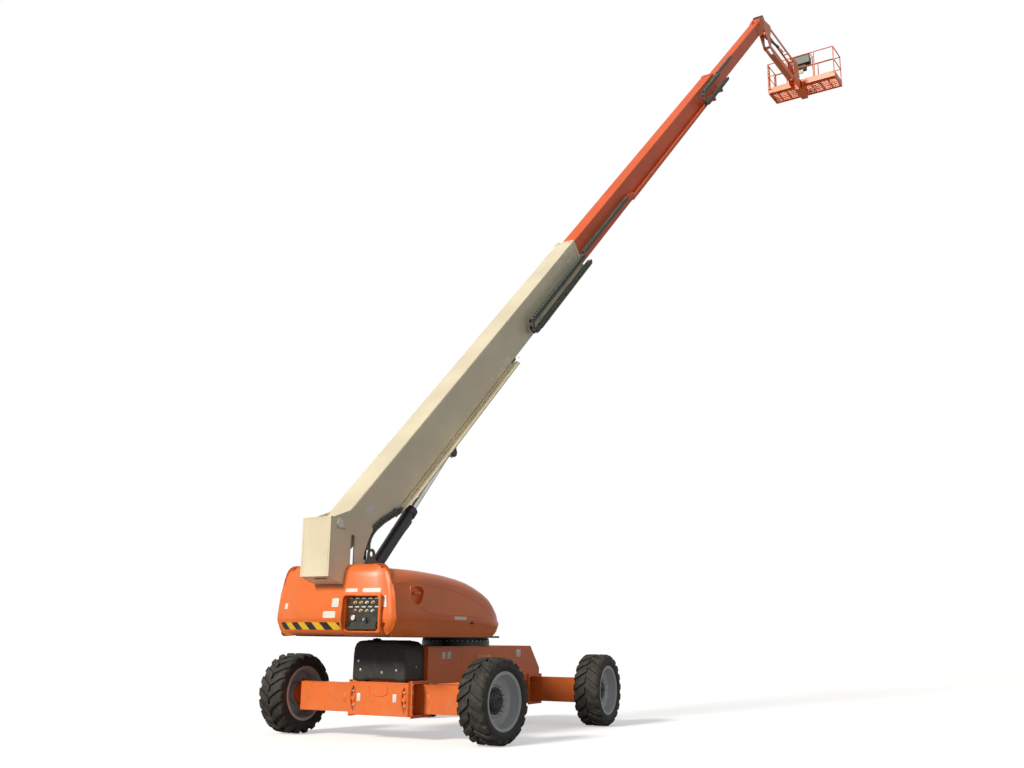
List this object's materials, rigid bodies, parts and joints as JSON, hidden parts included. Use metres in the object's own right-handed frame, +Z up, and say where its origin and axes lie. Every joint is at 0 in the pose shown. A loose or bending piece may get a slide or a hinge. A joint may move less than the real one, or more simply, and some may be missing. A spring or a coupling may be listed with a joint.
{
  "type": "telescopic boom lift",
  "caption": "Four-wheel telescopic boom lift with a slewing turntable, three-section boom, parallelogram jib and railed work platform.",
  "frame": {"origin": "on the ground under the slewing axis, midway between the axles", "axes": "+X towards the front axle, +Y to the left, +Z up"},
  "size_m": [24.5568, 5.7395, 22.0954],
  "materials": {
    "orange_paint": "gloss",
    "cream_paint": "gloss",
    "counterweight_paint": "gloss",
    "black_steel": "satin",
    "grey_rim": "satin",
    "tyre": "matte",
    "hood_plastic": "gloss",
    "black_plastic": "matte",
    "chain_plastic": "matte",
    "chrome_rod": "polished",
    "engine_metal": "matte",
    "platform_steel": "gloss",
    "platform_floor_alu": "satin",
    "console_grey": "matte"
  },
  "bodies": {
    "chassis": {"chassis_frame": "orange_paint", "axle_cover": "black_plastic", "axle_box_rear": "orange_paint", "axle_box_front": "orange_paint", "slew_ring": "black_steel"},
    "turntable": {"turntable_deck": "black_steel", "boom_tower": "cream_paint", "counterweight": "counterweight_paint", "ground_controls": "black_plastic", "engine_block": "engine_metal", "lifting_lugs": "orange_paint"},
    "hood_left_body": {"hood_left": "hood_plastic"},
    "hood_right_body": {"hood_right": "hood_plastic"},
    "base_boom": {"boom_base": "cream_paint", "base_chain": "chain_plastic", "pivot_chain": "chain_plastic"},
    "mid_boom": {"boom_mid": "orange_paint", "mid_chain": "chain_plastic"},
    "fly_boom": {"boom_fly": "orange_paint", "boom_nose": "orange_paint", "fly_chain": "chain_plastic"},
    "lift_cylinder": {"lift_barrel": "black_steel"},
    "lift_piston": {"lift_rod": "chrome_rod"},
    "jib_base": {"jib_head": "orange_paint"},
    "jib_lower": {"jib_arm_lower": "orange_paint"},
    "jib_upper": {"jib_arm_upper": "orange_paint"},
    "jib_cylinder": {"jib_barrel": "black_steel"},
    "jib_piston": {"jib_rod": "chrome_rod"},
    "jib_front": {"jib_end": "orange_paint"},
    "platform": {"rotator_arm": "orange_paint", "platform_floor": "platform_floor_alu", "platform_rails": "platform_steel", "platform_rails_far": "platform_steel", "platform_console": "console_grey"},
    "gate": {"platform_gate": "platform_steel"},
    "beam_rl": {"axle_beam_rl": "orange_paint"},
    "steer_rl": {"knuckle_rl": "orange_paint"},
    "wheel_rl": {"rim_rl": "grey_rim", "hub_rl": "black_steel", "tyre_rl": "tyre"},
    "beam_rr": {"axle_beam_rr": "orange_paint"},
    "steer_rr": {"knuckle_rr": "orange_paint"},
    "wheel_rr": {"rim_rr": "grey_rim", "hub_rr": "black_steel", "tyre_rr": "tyre"},
    "beam_fl": {"axle_beam_fl": "orange_paint"},
    "steer_fl": {"knuckle_fl": "orange_paint"},
    "wheel_fl": {"rim_fl": "grey_rim", "hub_fl": "black_steel", "tyre_fl": "tyre"},
    "beam_fr": {"axle_beam_fr": "orange_paint"},
    "steer_fr": {"knuckle_fr": "orange_paint"},
    "wheel_fr": {"rim_fr": "grey_rim", "hub_fr": "black_steel", "tyre_fr": "tyre"}
  },
  "joints": [
    {"name": "axle_extend_rl", "type": "slide", "parent": "chassis", "child": "beam_rl", "axis": [0, -1, 0], "range_m": [0, 0.66]},
    {"name": "steer_turn_rl", "type": "hinge", "parent": "beam_rl", "child": "steer_rl", "pos_m": [-1.905, 1.5025, 0.5775], "axis": [0, 0, 1], "range_deg": [-21.4, 34.6]},
    {"name": "wheel_spin_rl", "type": "hinge", "parent": "steer_rl", "child": "wheel_rl", "pos_m": [-1.89056, 1.68192, 0.5775], "axis": [0.0802, 0.9968, 0], "continuous": true},
    {"name": "axle_extend_rr", "type": "slide", "parent": "chassis", "child": "beam_rr", "axis": [0, 1, 0], "range_m": [0, 0.66]},
    {"name": "steer_turn_rr", "type": "hinge", "parent": "beam_rr", "child": "steer_rr", "pos_m": [-1.905, -1.5025, 0.5775], "axis": [0, 0, 1], "range_deg": [-21.4, 34.6]},
    {"name": "wheel_spin_rr", "type": "hinge", "parent": "steer_rr", "child": "wheel_rr", "pos_m": [-1.93192, -1.68048, 0.5775], "axis": [0.1495, 0.9888, 0], "continuous": true},
    {"name": "axle_extend_fl", "type": "slide", "parent": "chassis", "child": "beam_fl", "axis": [0, -1, 0], "range_m": [0, 0.66]},
    {"name": "steer_turn_fl", "type": "hinge", "parent": "beam_fl", "child": "steer_fl", "pos_m": [1.905, 1.5025, 0.5775], "axis": [0, 0, 1], "range_deg": [-30, 30]},
    {"name": "wheel_spin_fl", "type": "hinge", "parent": "steer_fl", "child": "wheel_fl", "pos_m": [1.905, 1.6825, 0.5775], "axis": [0, 1, 0], "continuous": true},
    {"name": "axle_extend_fr", "type": "slide", "parent": "chassis", "child": "beam_fr", "axis": [0, 1, 0], "range_m": [0, 0.66]},
    {"name": "steer_turn_fr", "type": "hinge", "parent": "beam_fr", "child": "steer_fr", "pos_m": [1.905, -1.5025, 0.5775], "axis": [0, 0, 1], "range_deg": [-30, 30]},
    {"name": "wheel_spin_fr", "type": "hinge", "parent": "steer_fr", "child": "wheel_fr", "pos_m": [1.905, -1.6825, 0.5775], "axis": [0, 1, 0], "continuous": true},
    {"name": "swing", "type": "hinge", "parent": "chassis", "child": "turntable", "pos_m": [0, 0, 1.405], "axis": [0, 0, 1], "continuous": true},
    {"name": "hood_left_open", "type": "hinge", "parent": "turntable", "child": "hood_left_body", "pos_m": [-1.44604, 0.53119, 2.327], "axis": [0.9925, -0.1219, 0], "range_deg": [0, 50]},
    {"name": "hood_right_open", "type": "hinge", "parent": "turntable", "child": "hood_right_body", "pos_m": [-1.5316, -0.16558, 2.327], "axis": [-0.9925, 0.1219, 0], "range_deg": [0, 50]},
    {"name": "boom_lift", "type": "hinge", "parent": "turntable", "child": "base_boom", "pos_m": [-3.12652, 0.38389, 2.93], "axis": [-0.1219, -0.9925, 0], "range_deg": [-49.1, 33.9]},
    {"name": "mid_telescope", "type": "slide", "parent": "base_boom", "child": "mid_boom", "axis": [0.7128, -0.0875, 0.6959], "range_m": [-7.2, 0]},
    {"name": "fly_telescope", "type": "slide", "parent": "mid_boom", "child": "fly_boom", "axis": [0.7128, -0.0875, 0.6959], "range_m": [-5.2, 4.4]},
    {"name": "level_turn", "type": "hinge", "parent": "fly_boom", "child": "jib_base", "pos_m": [16.01196, -1.96602, 21.19801], "axis": [-0.1219, -0.9925, 0], "range_deg": [-34.5, 49.7]},
    {"name": "jib_lift", "type": "hinge", "parent": "jib_base", "child": "jib_lower", "pos_m": [16.72461, -2.05352, 20.58401], "axis": [-0.1219, -0.9925, 0], "range_deg": [-55, 75]},
    {"name": "jib_follow", "type": "hinge", "parent": "jib_base", "child": "jib_upper", "pos_m": [16.72461, -2.05352, 21.28401], "axis": [-0.1219, -0.9925, 0], "range_deg": [-55.5, 75.5]},
    {"name": "platform_level", "type": "hinge", "parent": "jib_lower", "child": "jib_front", "pos_m": [19.14642, -2.35088, 20.58401], "axis": [-0.1219, -0.9925, 0], "range_deg": [-75.5, 55.5]},
    {"name": "platform_rotate", "type": "hinge", "parent": "jib_front", "child": "platform", "pos_m": [19.75187, -2.42523, 20.69901], "axis": [0, 0, 1], "range_deg": [-90, 90]},
    {"name": "lift_cylinder_turn", "type": "hinge", "parent": "turntable", "child": "lift_cylinder", "pos_m": [-2.76424, 0.33941, 1.58], "axis": [-0.1219, -0.9925, 0], "range_deg": [-39.88, 27.72]},
    {"name": "lift_cylinder_extend", "type": "slide", "parent": "lift_cylinder", "child": "lift_piston", "axis": [0.6559, -0.0805, 0.7505], "range_m": [-1.262, 0.8744]},
    {"name": "jib_cylinder_turn", "type": "hinge", "parent": "jib_base", "child": "jib_cylinder", "pos_m": [16.80401, -2.06327, 20.98401], "axis": [-0.1219, -0.9925, 0], "range_deg": [-54.77, 74.47]},
    {"name": "jib_cylinder_extend", "type": "slide", "parent": "jib_cylinder", "child": "jib_piston", "axis": [0.9761, -0.1199, 0.1812], "range_m": [-0.2525, 0.3425]},
    {"name": "gate_swing", "type": "hinge", "parent": "platform", "child": "gate", "pos_m": [21.04418, -1.37388, 20.99901], "axis": [0, 0, 1], "range_deg": [0, 95]}
  ],
  "couplings": [
    {"joint": "lift_cylinder_turn", "follows": "boom_lift", "ratio": 0.8},
    {"joint": "lift_cylinder_extend", "follows": "boom_lift", "m_per_rad": 1.461},
    {"joint": "level_turn", "follows": "boom_lift", "ratio": -1},
    {"joint": "jib_follow", "follows": "jib_lift", "ratio": 1},
    {"joint": "platform_level", "follows": "jib_lift", "ratio": -1},
    {"joint": "jib_cylinder_turn", "follows": "jib_lift", "ratio": 0.985},
    {"joint": "jib_cylinder_extend", "follows": "jib_lift", "m_per_rad": 0.25783},
    {"joint": "steer_turn_rr", "follows": "steer_turn_rl", "ratio": 1},
    {"joint": "steer_turn_fr", "follows": "steer_turn_fl", "ratio": 1}
  ]
}
